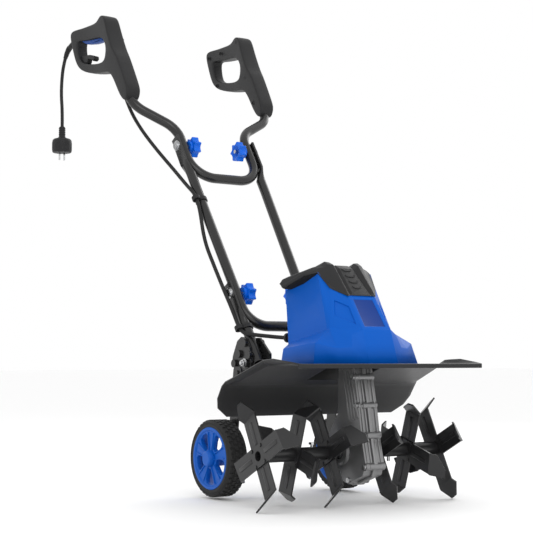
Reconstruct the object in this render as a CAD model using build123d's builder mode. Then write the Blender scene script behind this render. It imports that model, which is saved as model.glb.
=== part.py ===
from build123d import *
from math import cos, pi, radians, sin, tan
import os

os.makedirs("parts", exist_ok=True)

# A corded garden tiller. Millimetres: x across, y to the rear, z up from the ground.
# Places are given from the tine shaft's axis, which stands at shaft_y, shaft_z.
shaft_y = -316.5
shaft_z = 93.4

# Tines
star_places = (55.5, 126.8, 198)
star_turns = (27, 72, 27)
strip_width = 37
strip_thick = 3
bend_at = 72
bend_skew = 0.16
bend_angle = 52
tip_outline = [(0, 0), (-2.3, 3.2), (-5, 30.6), (9, 31.4), (35.5, 14), (36.9, 0)]
rivet_place = 14.5
sleeve_radius = 12
sleeve_bore = 8.8
sleeve_start = 34
shaft_radius = 8.5
shaft_end = 150
pin_place = 86.5
spare_hole_place = 160

# Gearbox and motor
journal_radius = 10
case_half = 21
worm_distance = 41.3
column_lean = 10.7
wheel_tip = 34
worm_radius = 6.9
motor_shaft = 4
running = 0.05

# Frame tubes
tube_radius = 10
tube_wall = 1.5
fold_lean = 32.66
lower_fold = (255, 292.5)
upper_fold = (455.6, 605.4)
stub_x = 84.35
middle_x_low = 78.6
middle_x_high = 85.25
upper_x = 80.5
paddle_thick = 4.5
paddle_width = 24
paddle_top = 22
bolt_radius = 4

# Chassis, shield and wheels
deck_z = 157
plate = 4
ear_x = 69
bracket_x = 95
pivot = (195, 140)
axle = (216, -18)
leg_x = 112
axle_radius = 6
wheel_x = 144
tyre_radius = 71.5
rim_radius = 58

# Handles
grip_centre = 147.34
grip_toe = 0.04
grip_half = 20
column_mid = (526, 720)
cable_radius = 3.75


def at(x, y, z):
    return Vector(x, shaft_y + y, shaft_z + z)


def side(x=0):
    return Plane(origin=at(x, 0, 0), x_dir=(0, 1, 0), z_dir=(1, 0, 0))


def level(z=0):
    return Plane(origin=at(0, 0, z), x_dir=(1, 0, 0), z_dir=(0, 0, 1))


def facing(y=0):
    return Plane(origin=at(0, y, 0), x_dir=(1, 0, 0), z_dir=(0, -1, 0))


def column(height):
    lean = radians(column_lean)
    foot = at(0, -worm_distance * cos(lean), worm_distance * sin(lean))
    along = Vector(0, sin(lean), cos(lean))
    return Plane(origin=foot + along * height, x_dir=(1, 0, 0), z_dir=along)


def rail(x, height, fold):
    along = Vector(0, sin(radians(fold_lean)), cos(radians(fold_lean)))
    return Plane(origin=at(x, *fold) + along * height, x_dir=(1, 0, 0), z_dir=along)


def grip_plane(hand):
    return Plane(origin=at(hand * grip_centre, 0, 0), x_dir=(hand * grip_toe, 1, 0),
                 z_dir=(1, -hand * grip_toe, 0))


def disc(plane, radius, depth, mode=Mode.ADD, inner=0, places=((0, 0),)):
    with BuildSketch(plane) as outline:
        with Locations(*places):
            Circle(radius)
            if inner:
                Circle(inner, mode=Mode.SUBTRACT)
    extrude(outline.sketch, amount=depth, mode=mode)


def slab(plane, points, depth, mode=Mode.ADD, corner=0):
    with BuildSketch(plane) as outline:
        with BuildLine():
            Polyline(*points, close=True)
        make_face()
        if corner:
            fillet(outline.vertices(), corner)
    extrude(outline.sketch, amount=depth, mode=mode)


def block(plane, low, high, depth, mode=Mode.ADD):
    (a, b), (c, d) = low, high
    slab(plane, [(a, b), (c, b), (c, d), (a, d)], depth, mode)


def bent_tube(points, bends, radius, bore=0):
    with BuildLine() as route:
        FilletPolyline(*points, radius=bends)
    with BuildSketch(Plane(origin=route.line @ 0, z_dir=route.line % 0)) as section:
        Circle(radius)
        if bore:
            Circle(bore, mode=Mode.SUBTRACT)
    sweep(section.sketch, path=route.line)


def save(name, piece):
    piece.part.label = name
    export_step(piece.part, f"parts/{name}.step")


# ---------------------------------------------------------------- tine rotor

def arm_plane(x, angle):
    turn = radians(angle)
    return Plane(origin=at(x, 0, 0), x_dir=(0, -cos(turn), sin(turn)), z_dir=(-1, 0, 0))


def tine_tip(arm, bend):
    half = strip_width / 2
    skew = bend_skew * half
    beta = radians(bend_angle)
    lift = 0 if bend > 0 else strip_thick
    corner = arm.from_local_coords(Vector(bend_at + skew, -half, lift))
    other = arm.from_local_coords(Vector(bend_at - skew, half, lift))
    along = (other - corner).normalized()
    outward = along.cross(arm.z_dir)
    rise = outward * cos(beta) + arm.z_dir * (bend * sin(beta))
    tip = Plane(origin=corner, x_dir=along, z_dir=along.cross(rise))
    slab(tip, tip_outline, -bend * strip_thick)


def tine_star(name, place, turn, bore):
    half = strip_width / 2
    skew = bend_skew * half
    strip = [(bend_at + skew, -half), (bend_at - skew, half), (-bend_at - skew, half), (-bend_at + skew, -half)]
    with BuildPart() as star:
        for angle, lift, bend in ((turn, 0, -1), (turn + 90, -strip_thick, 1)):
            x = -abs(place) - lift
            slab(arm_plane(x, angle), strip, strip_thick)
            tine_tip(arm_plane(x, angle), bend)
            tine_tip(arm_plane(x, angle + 180), bend)
        corners = [(a * rivet_place, b * rivet_place) for a in (-1, 1) for b in (-1, 1)]
        disc(arm_plane(-abs(place) + strip_thick + 1.5, turn), 3.5, 2 * strip_thick + 3, places=corners)
        disc(side(-abs(place) - 10), bore, 20, Mode.SUBTRACT)
        if place > 0:
            mirror(about=Plane.YZ, mode=Mode.REPLACE)
    save(name, star)


for number, (place, turn) in enumerate(zip(star_places, star_turns)):
    bore = sleeve_bore if place > shaft_end else sleeve_radius
    tine_star(f"tine_star_{3 - number}", -place, turn, bore)
    tine_star(f"tine_star_{4 + number}", place, turn, bore)

with BuildPart() as tine_shaft:
    disc(side(-30), journal_radius, 60)
    disc(side(-shaft_end), shaft_radius, 2 * shaft_end)
    disc(level(-sleeve_radius - 1), 3, 2 * sleeve_radius + 2, Mode.SUBTRACT,
         places=[(-pin_place, 0), (pin_place, 0)])
save("tine_shaft", tine_shaft)

with BuildPart() as tine_sleeves:
    disc(side(sleeve_start), sleeve_radius, star_places[2] - strip_thick - sleeve_start, inner=shaft_radius)
    disc(side(shaft_end), sleeve_bore, 60, Mode.SUBTRACT)
    disc(level(-sleeve_radius - 1), 3, 2 * sleeve_radius + 2, Mode.SUBTRACT,
         places=[(pin_place, 0), (spare_hole_place, 0)])
    mirror(about=Plane.YZ)
save("tine_sleeves", tine_sleeves)

with BuildPart() as tine_pins:
    disc(level(-20), 2.98, 36, places=[(pin_place, 0)])
    disc(level(16), 6, 4, places=[(pin_place, 0)])
    mirror(about=Plane.YZ)
save("tine_pins", tine_pins)

with BuildPart() as worm_wheel:
    disc(side(-8), wheel_tip - 4, 16, inner=journal_radius)
    with BuildSketch(side(-8)) as teeth:
        with PolarLocations(wheel_tip - 3, 30):
            Rectangle(6, 3.4)
    extrude(teeth.sketch, amount=16)
save("worm_wheel", worm_wheel)

# ---------------------------------------------------------------- gearbox

case_outline = [(-35, 152), (-48, 85), (-59, 20), (-68, -18), (-60, -38), (-24, -51), (12, -51),
                (40, -30), (48, 0), (40, 28), (10, 70), (8, 152)]
case_screw_places = [(-35, 134), (-43.5, 84), (-54.5, 32), (-65.5, -22), (-20, -48), (42, -18)]
wing_low, wing_high = (-60, -33), (60, 49)


def gearbox_half(hand):
    with BuildPart() as half:
        slab(side(), case_outline, hand * case_half, corner=5)
        disc(side(), 22, hand * 28)
        disc(side(), 7, hand * case_half, places=case_screw_places)
        block(level(150), (0, wing_low[1]), (hand * wing_high[0], wing_high[1]), deck_z - 150)
        disc(side(), 36, hand * 11, Mode.SUBTRACT)
        disc(side(), 18, hand * 23, Mode.SUBTRACT)
        disc(side(), 16, hand * 27, Mode.SUBTRACT)
        disc(side(), 12, hand * 30, Mode.SUBTRACT)
        disc(column(-33), 9, 195, Mode.SUBTRACT)
        disc(side(), 2.5, hand * 30, Mode.SUBTRACT, places=case_screw_places)
    return half


save("gearbox_left", gearbox_half(-1))
save("gearbox_right", gearbox_half(1))

with BuildPart() as case_screws:
    disc(side(-case_half), 2.5, 2 * case_half, places=case_screw_places)
    disc(side(-case_half - 3), 4.5, 3, places=case_screw_places)
save("case_screws", case_screws)

with BuildPart() as tine_bearings:
    disc(side(13), 18, 10, inner=journal_radius + running)
    mirror(about=Plane.YZ)
save("tine_bearings", tine_bearings)

with BuildPart() as shaft_seals:
    disc(side(23.2), 16, 3.8, inner=journal_radius + running)
    mirror(about=Plane.YZ)
save("shaft_seals", shaft_seals)

# ---------------------------------------------------------------- motor

with BuildPart() as armature:
    disc(column(-32), motor_shaft, 308)
    disc(column(-18), worm_radius, 36)
    disc(column(196), 20.4, 50)
    disc(column(250), 12, 12)
save("armature", armature)

with BuildPart() as cooling_fan:
    disc(column(178), 12, 12, inner=motor_shaft)
    disc(column(178), 26, 3, inner=motor_shaft)
    with BuildSketch(column(179)) as blades:
        with PolarLocations(17.5, 9):
            Rectangle(14, 2)
    extrude(blades.sketch, amount=10)
save("cooling_fan", cooling_fan)

with BuildPart() as shaft_bearings:
    for height, radius in ((-31, 9), (30, 9), (166, 13), (266, 11)):
        disc(column(height), radius, 8, inner=motor_shaft + running)
save("shaft_bearings", shaft_bearings)

post_places = [(-30.5, 0), (30.5, 0)]
with BuildPart() as motor_stator:
    with BuildSketch(column(196)) as field:
        Circle(32)
        Rectangle(54, 70, mode=Mode.INTERSECT)
        Circle(21, mode=Mode.SUBTRACT)
    extrude(field.sketch, amount=50)
save("motor_stator", motor_stator)

with BuildPart() as motor_frame:
    disc(column(166), 35, 8, inner=13)
    disc(column(266), 35, 8, inner=11)
    disc(column(158), 3, 116, places=post_places)
    for hand in (-1, 1):
        block(column(252), (hand * 12.4, -5), (hand * 26, 5), 14)
save("motor_frame", motor_frame)

# ---------------------------------------------------------------- chassis and shield

shield_outline = [(-124, 154), (-124, 166), (-121, 166), (-121, deck_z), (-23, deck_z), (75, 122), (81, 118),
                  (119, 64.5), (116, 62.5), (79, 114.5), (73, 119), (-23, 154)]
shield_plan = [(0, -125), (192, -125), (206, -111), (212, -52), (206, -23), (221, 74), (223, 98), (217, 120), (0, 120)]
deck_bolt_places = [(-75, -48), (75, -48), (-30, -50), (30, -50)]
with BuildPart() as shield:
    slab(side(), shield_outline, 224)
    with BuildSketch(level(60)) as plan:
        with BuildLine():
            Polyline(*shield_plan, close=True)
        make_face()
    extrude(plan.sketch, amount=110, mode=Mode.INTERSECT)
    slab(level(deck_z), [(202, -121), (205, -121), (211, -52), (205, -23), (202, -23), (208, -52)], 8)
    slab(facing(125), [(189, 60), (225, 60), (225, 95)], 60, Mode.SUBTRACT)
    mirror(about=Plane.YZ)
    block(level(100), (-61, -34), (61, 50), 80, Mode.SUBTRACT)
    disc(level(100), 3, 80, Mode.SUBTRACT, places=deck_bolt_places)
save("shield", shield)

deck_half = [(0, -58), (86, -58), (86, 150), (ear_x + plate, 150), (ear_x + plate, 178), (0, 178)]
ear_outline = [(150, deck_z), (150, 176), (184, 206), (212, 206), (226, 160), (208, 128), (184, 128), (176, deck_z)]
bracket_outline = [(208, 208), (192, 205), (180, 188), (173, 160), (182, 131), (200, 127), (224, 137), (240, 158),
                   (237, 172), (222, 200)]
tube_bolts = [(193.2, 196), (178.8, 173.5)]
plate_bolts = [(212.6, 175.6), (228.2, 157.6), (189.5, 158.5)]
with BuildPart() as chassis_frame:
    slab(level(deck_z), deck_half, plate)
    slab(side(ear_x), ear_outline, plate)
    mirror(about=Plane.YZ)
    disc(level(150), 14, 20, Mode.SUBTRACT, places=[(0, -12)])
    disc(level(150), 3, 20, Mode.SUBTRACT, places=deck_bolt_places)
    disc(side(-ear_x - 10), 4, 2 * ear_x + 20, Mode.SUBTRACT, places=tube_bolts + plate_bolts)
    disc(side(-ear_x - 10), 5 + running, 2 * ear_x + 20, Mode.SUBTRACT, places=[pivot])
save("chassis_frame", chassis_frame)

with BuildPart() as deck_bolts:
    disc(level(deck_z - 3), 3, plate + 3, places=deck_bolt_places)
    disc(level(deck_z - 6), 6, 3, places=deck_bolt_places)
    disc(level(deck_z + plate), 5, 4, places=deck_bolt_places)
save("deck_bolts", deck_bolts)

with BuildPart() as handle_brackets:
    slab(side(bracket_x), bracket_outline, plate, corner=3)
    disc(side(bracket_x - 1), 4, plate + 2, Mode.SUBTRACT, places=tube_bolts + plate_bolts)
    disc(side(bracket_x - 1), 5 + running, plate + 2, Mode.SUBTRACT, places=[pivot])
    mirror(about=Plane.YZ)
save("handle_brackets", handle_brackets)

with BuildPart() as bracket_bolts:
    disc(side(ear_x - 5), 4, bracket_x + plate + 5 - ear_x, places=tube_bolts + plate_bolts)
    disc(side(ear_x - 9), 7, 9, places=tube_bolts + plate_bolts)
    disc(side(bracket_x + plate), 7.5, 5, places=tube_bolts + plate_bolts)
    mirror(about=Plane.YZ)
save("bracket_bolts", bracket_bolts)

# ---------------------------------------------------------------- motor housing and top cover

skirt_low = [(31.5, -95), (78, -69), (118, -48), (111, 60), (76, 94)]
skirt_high = [(31.3, -83), (69, -61), (108, -41), (104, 60), (75, 93)]
body_low = [(31.2, -80), (54, -66), (71, -32), (73, 58), (73, 95)]
body_high = [(21, -32), (38, -22), (60, 6), (63, 58), (63, 107)]
cover_high = [(10, 2), (24, 10), (40, 24), (48, 60), (48, 96)]
skirt_top = 194
body_top = 288
cover_top = 334


def hull(low, low_z, high, high_z, inset, mode=Mode.ADD):
    rings = []
    for outline, z in ((low, low_z), (high, high_z)):
        points = [(x, y) for x, y in outline] + [(-x, y) for x, y in reversed(outline)]
        with BuildSketch(level(z)) as ring:
            with BuildLine():
                Polyline(*points, close=True)
            make_face()
            if inset:
                offset(amount=-inset, kind=Kind.INTERSECTION, mode=Mode.REPLACE)
        rings.append(ring.sketch)
    loft(rings, mode=mode)


with BuildPart() as motor_housing:
    hull(skirt_low, deck_z, skirt_high, skirt_top, 0)
    hull(body_low, skirt_top, body_high, body_top, 0)
    hull(skirt_low, deck_z, skirt_high, skirt_top - 3, 3, Mode.SUBTRACT)
    hull(body_low, skirt_top - 3, body_high, body_top, 3, Mode.SUBTRACT)
    block(level(deck_z), (-89, 50), (89, 110), plate + 0.5, Mode.SUBTRACT)
    disc(facing(120), 6, 60, Mode.SUBTRACT, places=[(-60, 205)])
save("motor_housing", motor_housing)

with BuildPart() as top_cover:
    hull(body_high, body_top, cover_high, cover_top, 0)
    hull(body_high, body_top, cover_high, cover_top - 4, 3, Mode.SUBTRACT)
save("top_cover", top_cover)

with BuildPart() as cable_gland:
    disc(facing(112), 5.9, 24, inner=cable_radius, places=[(-60, 205)])
    disc(facing(112), 9, 6, inner=cable_radius, places=[(-60, 205)])
save("cable_gland", cable_gland)

# ---------------------------------------------------------------- frame tubes

def paddle(hand, tube_x, fold, loft_low, loft_high):
    inner = tube_x + tube_radius - paddle_thick
    with BuildSketch(rail(hand * tube_x, loft_low, fold)) as round_end:
        Circle(tube_radius)
    with BuildSketch(rail(hand * (inner + paddle_thick / 2), loft_high, fold)) as flat_end:
        Rectangle(paddle_thick, paddle_width)
    loft([round_end.sketch, flat_end.sketch])
    flat = Plane(origin=rail(hand * inner, loft_high, fold).origin,
                 x_dir=rail(0, 0, fold).z_dir, z_dir=(hand, 0, 0))
    with BuildSketch(flat) as blade:
        with Locations(((paddle_top - loft_high) / 2, 0)):
            Rectangle(paddle_top - loft_high, paddle_width)
    extrude(blade.sketch, amount=paddle_thick)


with BuildPart() as stub_tubes:
    for hand in (-1, 1):
        low = rail(hand * stub_x, -157.5, lower_fold)
        disc(low, tube_radius, 157.5 - 72)
        disc(low, tube_radius - tube_wall, 157.5 - 76, Mode.SUBTRACT)
        paddle(hand, stub_x, lower_fold, -72, -42)
    disc(side(-110), bolt_radius, 220, Mode.SUBTRACT, places=tube_bolts + [lower_fold])
save("stub_tubes", stub_tubes)

middle_round_top = -76
middle_straight = 30
middle_bottom = -75.5


def middle_corners(hand):
    end = rail(hand * middle_x_high, middle_round_top, upper_fold).origin
    straight = rail(hand * middle_x_high, middle_round_top - middle_straight, upper_fold).origin
    return [end, straight, rail(hand * (middle_x_low - 1.3), middle_bottom, lower_fold).origin]


with BuildPart() as middle_frame_tube:
    route = middle_corners(-1) + middle_corners(1)[::-1]
    bent_tube(route, [200, 45, 45, 200], tube_radius, tube_radius - tube_wall)
    for hand in (-1, 1):
        paddle(hand, middle_x_high, upper_fold, middle_round_top, -45)
    disc(side(-110), bolt_radius + running, 220, Mode.SUBTRACT, places=[lower_fold])
    disc(side(-110), bolt_radius, 220, Mode.SUBTRACT, places=[upper_fold])
save("middle_frame_tube", middle_frame_tube)

tube_turn = (514.4, 691.5)
grip_end = 118


def handle_tube_half(hand):
    column_foot = grip_plane(hand).from_local_coords(Vector(*tube_turn, 0))
    lean = Vector(hand * grip_toe, sin(radians(fold_lean)), cos(radians(fold_lean))).normalized()
    return [column_foot + lean * grip_end, column_foot, rail(hand * upper_x, 48, upper_fold).origin,
            rail(hand * upper_x, -80.9, upper_fold).origin]


with BuildPart() as upper_handle_tube:
    route = handle_tube_half(-1) + handle_tube_half(1)[::-1]
    bent_tube(route, [50, 52, 50.7, 50.7, 52, 50], tube_radius, tube_radius - tube_wall)
    disc(side(-110), bolt_radius + running, 220, Mode.SUBTRACT, places=[upper_fold])
    for hand in (-1, 1):
        disc(grip_plane(hand).offset(-30), 1.8, 60, Mode.SUBTRACT, places=[(543, 736)])
save("upper_handle_tube", upper_handle_tube)


def fold_bolts(paddle_face, fold):
    with BuildPart() as bolts:
        disc(side(46), bolt_radius, paddle_face - 46, places=[fold])
        disc(side(paddle_face), 11, 2, places=[fold])
        disc(side(paddle_face + 2), 8, 3, places=[fold])
        mirror(about=Plane.YZ)
    return bolts


save("lower_fold_bolts", fold_bolts(stub_x + tube_radius, lower_fold))
save("upper_fold_bolts", fold_bolts(middle_x_high + tube_radius, upper_fold))


def knob(hand, face, fold):
    with BuildPart() as handwheel:
        with BuildSketch(side(hand * face)) as lobes:
            with Locations(fold):
                Circle(17.5)
                with PolarLocations(15.5, 7):
                    Circle(6)
        extrude(lobes.sketch, amount=-hand * 16)
        disc(side(hand * face), 12, hand * 6, places=[fold])
        disc(side(hand * (face - 20)), bolt_radius + running, hand * 30, Mode.SUBTRACT, places=[fold])
    return handwheel


for name, fold, face in (("lower_knob", lower_fold, 61), ("upper_knob", upper_fold, 64)):
    save(f"{name}_left", knob(-1, face, fold))
    save(f"{name}_right", knob(1, face, fold))

# ---------------------------------------------------------------- wheels

with BuildPart() as wheel_frame:
    slab(side(leg_x), [(182, 152), (208, 152), (232, -28), (204, -28)], plate, corner=8)
    mirror(about=Plane.YZ)
    disc(side(-leg_x), 5, 2 * leg_x, places=[pivot])
    for hand in (-1, 1):
        disc(side(hand * leg_x), 5, hand * 7, places=[pivot])
    disc(side(-leg_x - plate), axle_radius, 2 * (leg_x + plate), Mode.SUBTRACT, places=[axle])
save("wheel_frame", wheel_frame)

with BuildPart() as wheel_axle:
    disc(side(-170), axle_radius, 340, places=[axle])
save("wheel_axle", wheel_axle)

with BuildPart() as axle_caps:
    disc(side(166.5), 11, 6, places=[axle])
    disc(side(165), axle_radius, 5, Mode.SUBTRACT, places=[axle])
    mirror(about=Plane.YZ)
save("axle_caps", axle_caps)


def wheel(hand):
    with BuildPart() as rim:
        disc(side(hand * (wheel_x - 17)), rim_radius, hand * 34, inner=rim_radius - 4, places=[axle])
        disc(side(hand * (wheel_x - 2)), rim_radius - 3, hand * 6, places=[axle])
        disc(side(hand * 117), 14, hand * 48, places=[axle])
        disc(side(hand * 110), axle_radius + running, hand * 60, Mode.SUBTRACT, places=[axle])
    with BuildPart() as tyre:
        disc(side(hand * (wheel_x - 20)), tyre_radius, hand * 40, inner=rim_radius, places=[axle])
        outer = tyre.edges().filter_by(GeomType.CIRCLE).filter_by(lambda edge: edge.radius > rim_radius + 1)
        fillet(outer, 6)
    return rim, tyre


for name, hand in (("left", -1), ("right", 1)):
    rim, tyre = wheel(hand)
    save(f"wheel_rim_{name}", rim)
    save(f"tyre_{name}", tyre)

# ---------------------------------------------------------------- handles

grip_outline = [(757, 880), (748, 888), (682, 890), (642, 888), (628, 898), (612, 893), (600, 873), (569, 815),
                (557, 804), (539, 775), (519, 737), (514, 722), (519, 707), (539, 717), (549, 730), (580, 774),
                (606, 777), (650, 781), (706, 796), (732, 815)]
grip_window = [(614, 853), (599, 827), (606, 797), (662, 801), (712, 813), (724, 822), (738, 866), (687, 860)]
pocket = [(630, 845), (630, 884), (731, 880), (731, 858), (700, 845)]
lever_outline = [(727, 866), (727, 877), (716, 879), (640, 871), (633, 862), (634, 851), (670, 850), (704, 855)]
lever_pivot = (722, 871)
screw_places = {-1: [(617, 888), (745, 874), (712, 804), (627, 789), (578, 800), (543, 736)],
                1: [(617, 888), (690, 876), (745, 874), (712, 804), (627, 789), (578, 800), (543, 736)]}
hook_outline = [(732, 830), (706, 830), (668, 820), (671, 813), (684, 810), (718, 812)]


def grip_shell(hand, part_of):
    # part_of is 1 for the outer half and -1 for the inner half
    plane = grip_plane(hand)
    depth = hand * part_of * grip_half
    lean = Vector(hand * grip_toe, sin(radians(fold_lean)), cos(radians(fold_lean))).normalized()
    foot = plane.from_local_coords(Vector(*tube_turn, 0))
    with BuildPart() as shell:
        slab(plane, grip_outline, depth)
        slab(plane, grip_window, depth, Mode.SUBTRACT)
        disc(Plane(origin=foot, z_dir=lean), tube_radius + 0.05, grip_end + 0.5, Mode.SUBTRACT)
        disc(Plane(origin=foot, z_dir=lean), tube_radius + 1.5, 28, Mode.SUBTRACT)
        disc(plane.offset(-hand * part_of * 1), 1.8, depth * 0.8, Mode.SUBTRACT, places=screw_places[hand])
        if part_of < 0:
            disc(plane.offset(depth * 0.7), 3.4, depth, Mode.SUBTRACT, places=screw_places[hand])
        if hand < 0:
            slab(plane, pocket, hand * part_of * 7.6, Mode.SUBTRACT)
            block(plane, (605, 858), (628, 884), hand * part_of * 7, Mode.SUBTRACT)
            slab(plane, hook_outline, hand * part_of * 7)
            disc(plane, 2, hand * part_of * 14, Mode.SUBTRACT, places=[lever_pivot])
            if part_of < 0:
                disc(plane.offset(depth * 0.2), 5 + running, depth, Mode.SUBTRACT, places=[(598, 846)])
                disc(plane.offset(depth * 0.2), 7, depth * 0.4, Mode.SUBTRACT, places=[(598, 846)])
    return shell


for name, hand in (("switch_handle", -1), ("plain_handle", 1)):
    save(f"{name}_outer", grip_shell(hand, 1))
    save(f"{name}_inner", grip_shell(hand, -1))

with BuildPart() as handle_screws:
    for hand in (-1, 1):
        inner = grip_plane(hand)
        disc(inner.offset(-hand * 14), 1.8, hand * 28, places=screw_places[hand])
        disc(inner.offset(-hand * 17), 3.4, hand * 3, places=screw_places[hand])
save("handle_screws", handle_screws)

with BuildPart() as switch_lever:
    slab(grip_plane(-1).offset(-7), lever_outline, 14, corner=1)
    disc(grip_plane(-1).offset(-8), 2 + running, 16, Mode.SUBTRACT, places=[lever_pivot])
save("switch_lever", switch_lever)

with BuildPart() as lever_pin:
    disc(grip_plane(-1).offset(-14), 2, 28, places=[lever_pivot])
save("lever_pin", lever_pin)

with BuildPart() as power_switch:
    block(grip_plane(-1).offset(-7), (605, 858), (628, 884), 14)
save("power_switch", power_switch)

with BuildPart() as lock_button:
    disc(grip_plane(-1).offset(9), 5, 15, places=[(598, 846)])
    disc(grip_plane(-1).offset(9), 6.8, 2, places=[(598, 846)])
save("lock_button", lock_button)

# ---------------------------------------------------------------- mains lead

relief_points = [at(-177.7, 750, 878), at(-178.5, 803, 862), at(-179, 812.5, 844)]
relief_bend = 21
plug_top = at(-178.5, 826, 690)
cord_points = [relief_points[-1], at(-179.5, 821.7, 826.6), at(-180.5, 826, 799), at(-181, 827.5, 763),
               at(-178.5, 826, 726), plug_top]


def arcs(points):
    # the largest bend that each pair of runs leaves room for
    radii = []
    for before, corner, after in zip(points, points[1:], points[2:]):
        turn = radians((corner - before).get_angle(after - corner))
        radii.append(0.45 * min((corner - before).length, (after - corner).length) / tan(turn / 2))
    return radii


def cable(name, points, radius):
    radii = arcs(points)
    print(name, "bend radii", [round(r, 1) for r in radii])
    with BuildPart() as lead:
        bent_tube(points, radii, radius)
    length = lead.part.volume / (pi * radius ** 2)
    print(name, "length", round(length, 1), "by its runs",
          round(sum((b - a).length for a, b in zip(points, points[1:])), 1))
    save(name, lead)


with BuildPart() as strain_relief:
    bent_tube(relief_points, relief_bend, 6)
    slab(grip_plane(-1).offset(-grip_half - 1), grip_outline, 2 * grip_half + 2, Mode.SUBTRACT)
save("strain_relief", strain_relief)

cable("mains_cord", cord_points, cable_radius)

with BuildPart() as mains_plug:
    down = Plane(origin=plug_top, x_dir=(1, 0, 0), z_dir=(0, 0, -1))
    disc(down, 7.3, 24)
    disc(down.offset(24), 22, 35)
    block(down.offset(59), (-7, -3), (-4.6, 3), 17)
    block(down.offset(59), (4.6, -3), (7, 3), 17)
save("mains_plug", mains_plug)

# ---------------------------------------------------------------- motor lead along the frame

lead_join = at(-99, 370, 484)
lead_line = Vector(0.3, -14, -24).normalized()
upper_lead = [at(-167, 549, 716), at(-152, 556, 690), at(-141, 529, 647), at(-122, 496, 601), at(-106, 449, 553),
              at(-101, 408, 518), lead_join - lead_line * 14, lead_join]
lower_lead = [lead_join, lead_join + lead_line * 20, at(-98.5, 343, 400), at(-101, 300, 345),
              at(-104.5, 264, 303), at(-101, 236, 260), at(-100, 208, 216), at(-92, 184, 212), at(-76, 160, 209),
              at(-61, 134, 206), at(-60, 112.1, 205)]
cable("motor_lead_upper", upper_lead, cable_radius)
cable("motor_lead_lower", lower_lead, cable_radius)


def cable_clip(tube_x, fold, height, lead_offset):
    with BuildPart() as clip:
        with BuildSketch(rail(tube_x, height - 4, fold)) as band:
            Circle(tube_radius + 2.5)
            with Locations(lead_offset):
                Circle(8.6)
            Circle(tube_radius + 0.15, mode=Mode.SUBTRACT)
            with Locations(lead_offset):
                Circle(6.2, mode=Mode.SUBTRACT)
        extrude(band.sketch, amount=8)
    return clip


save("cable_clip_upper", cable_clip(-84.36, upper_fold, -144, (-14.9, -6)))
save("cable_clip_lower", cable_clip(-stub_x, lower_fold, -80, (-15.9, 1.6)))
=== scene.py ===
import math

import bmesh
import bpy
from mathutils import Matrix, Vector


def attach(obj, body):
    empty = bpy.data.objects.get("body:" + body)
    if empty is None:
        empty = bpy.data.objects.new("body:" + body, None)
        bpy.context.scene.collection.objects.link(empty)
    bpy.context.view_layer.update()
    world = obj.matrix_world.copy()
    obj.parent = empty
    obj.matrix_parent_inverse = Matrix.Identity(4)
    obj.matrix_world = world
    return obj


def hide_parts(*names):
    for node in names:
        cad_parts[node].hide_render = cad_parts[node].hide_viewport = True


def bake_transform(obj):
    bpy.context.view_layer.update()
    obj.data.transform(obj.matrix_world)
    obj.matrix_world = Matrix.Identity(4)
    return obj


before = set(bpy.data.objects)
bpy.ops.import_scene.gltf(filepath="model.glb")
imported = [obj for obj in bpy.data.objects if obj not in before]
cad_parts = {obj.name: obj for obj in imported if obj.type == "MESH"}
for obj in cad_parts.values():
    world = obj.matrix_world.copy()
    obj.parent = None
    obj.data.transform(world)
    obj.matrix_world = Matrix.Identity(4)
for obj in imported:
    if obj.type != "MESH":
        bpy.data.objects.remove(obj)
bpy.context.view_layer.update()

shaftPlace = (0, -316.5, 93.4)  # the tine shaft; every place below is given from it, in millimetres
print("frame loaded:", len(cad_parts), "nodes")


def spot(x, y, z):
    return (Vector((x, y, z)) + Vector(shaftPlace)) / 1000


# camera, floor and lights

view = {"place": (-1.49009, -2.23118, 0.25636), "look": (0.5624, 0.8239, 0.0700), "lens": 90.61}

cameraData = bpy.data.cameras.new("camera")
cameraData.lens = view["lens"]
cameraData.sensor_width = 36
camera = bpy.data.objects.new("camera", cameraData)
camera.location = view["place"]
camera.rotation_euler = Vector(view["look"]).to_track_quat("-Z", "Y").to_euler()
bpy.context.collection.objects.link(camera)
bpy.context.scene.camera = camera

studio = {
    "keyPlace": (-1.1, -2.4, 1.9), "keyPower": 16, "keySize": 1.6,
    "fillPlace": (0.6, -2.6, 1.1), "fillPower": 3.5, "fillSize": 1.8,
    "rimPlace": (1.9, 0.6, 1.7), "rimPower": 12, "rimSize": 1.4,
    "lowPlace": (-0.9, -1.6, 0.1), "lowPower": 1.5, "lowSize": 1.0,
    "aim": (0, -0.05, 0.42),
    "floorShade": (0.97, 0.97, 0.97), "airShade": (1, 1, 1), "airStrength": 1.0,
}


def addLight(name):
    lamp = bpy.data.lights.new(name, "AREA")
    lamp.energy = studio[name + "Power"]
    lamp.size = studio[name + "Size"]
    holder = bpy.data.objects.new(name, lamp)
    holder.location = studio[name + "Place"]
    aim = Vector(studio["aim"]) - Vector(studio[name + "Place"])
    holder.rotation_euler = aim.to_track_quat("-Z", "Y").to_euler()
    bpy.context.collection.objects.link(holder)


for name in ("key", "fill", "rim", "low"):
    addLight(name)

air = bpy.data.worlds.new("air")
air.use_nodes = True
air.node_tree.nodes["Background"].inputs["Color"].default_value = (*studio["airShade"], 1)
air.node_tree.nodes["Background"].inputs["Strength"].default_value = studio["airStrength"]
bpy.context.scene.world = air
bpy.context.scene.view_settings.view_transform = "Standard"
print("camera and lights done")


# finishes

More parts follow.
